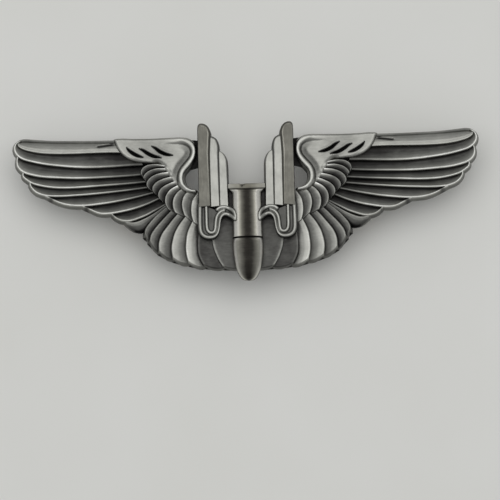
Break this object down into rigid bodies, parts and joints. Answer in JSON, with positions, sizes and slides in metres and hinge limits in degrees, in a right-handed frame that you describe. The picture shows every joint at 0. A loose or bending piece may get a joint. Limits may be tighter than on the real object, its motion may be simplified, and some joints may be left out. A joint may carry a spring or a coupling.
{
  "type": "winged flight crew badge",
  "caption": "Die-struck wings badge with a raised bullet and stepped fins, held by two posts and spring-jaw clutches on its back.",
  "frame": {"origin": "centre of the bounding box in plan, on the table under the clutches' finger ears", "axes": "+X to the viewer's right along the span, +Y to the badge's top, +Z out of its face"},
  "size_m": [0.0762, 0.0262, 0.0095],
  "materials": {
    "antique_silver": "struck brass, antique silver plate with dark oxide left in the hollows and polished high spots",
    "nickel_plate": "bright nickel plate",
    "spring_brass": "bare spring brass, satin"
  },
  "bodies": {
    "left_clutch": {"left_clutch_cap": "nickel_plate", "left_clutch_keeper": "nickel_plate"},
    "left_upper_jaw": {"left_upper_jaw": "spring_brass"},
    "left_lower_jaw": {"left_lower_jaw": "spring_brass"},
    "badge": {"wing_blank": "antique_silver", "bullet": "antique_silver", "left_fin": "antique_silver", "right_fin": "antique_silver", "left_post": "nickel_plate", "right_post": "nickel_plate"},
    "right_clutch": {"right_clutch_cap": "nickel_plate", "right_clutch_keeper": "nickel_plate"},
    "right_upper_jaw": {"right_upper_jaw": "spring_brass"},
    "right_lower_jaw": {"right_lower_jaw": "spring_brass"}
  },
  "joints": [
    {"name": "badge_lift", "type": "slide", "parent": "left_clutch", "child": "badge", "axis": [0, 0, 1], "range_m": [0, 0.0075]},
    {"name": "right_clutch_release", "type": "slide", "parent": "badge", "child": "right_clutch", "axis": [0, 0, -1], "range_m": [0, 0.0075]},
    {"name": "left_jaw_squeeze", "type": "slide", "parent": "left_clutch", "child": "left_upper_jaw", "axis": [0, -1, 0], "range_m": [0, 0.0008], "stiffness_N_per_m": 800},
    {"name": "left_jaw_return", "type": "slide", "parent": "left_clutch", "child": "left_lower_jaw", "axis": [0, 1, 0], "range_m": [0, 0.0008], "stiffness_N_per_m": 800},
    {"name": "right_jaw_squeeze", "type": "slide", "parent": "right_clutch", "child": "right_upper_jaw", "axis": [0, -1, 0], "range_m": [0, 0.0008], "stiffness_N_per_m": 800},
    {"name": "right_jaw_return", "type": "slide", "parent": "right_clutch", "child": "right_lower_jaw", "axis": [0, 1, 0], "range_m": [0, 0.0008], "stiffness_N_per_m": 800}
  ],
  "couplings": [
    {"joint": "right_clutch_release", "follows": "badge_lift", "ratio": 1},
    {"joint": "left_jaw_return", "follows": "left_jaw_squeeze", "ratio": 1},
    {"joint": "right_jaw_return", "follows": "right_jaw_squeeze", "ratio": 1}
  ]
}
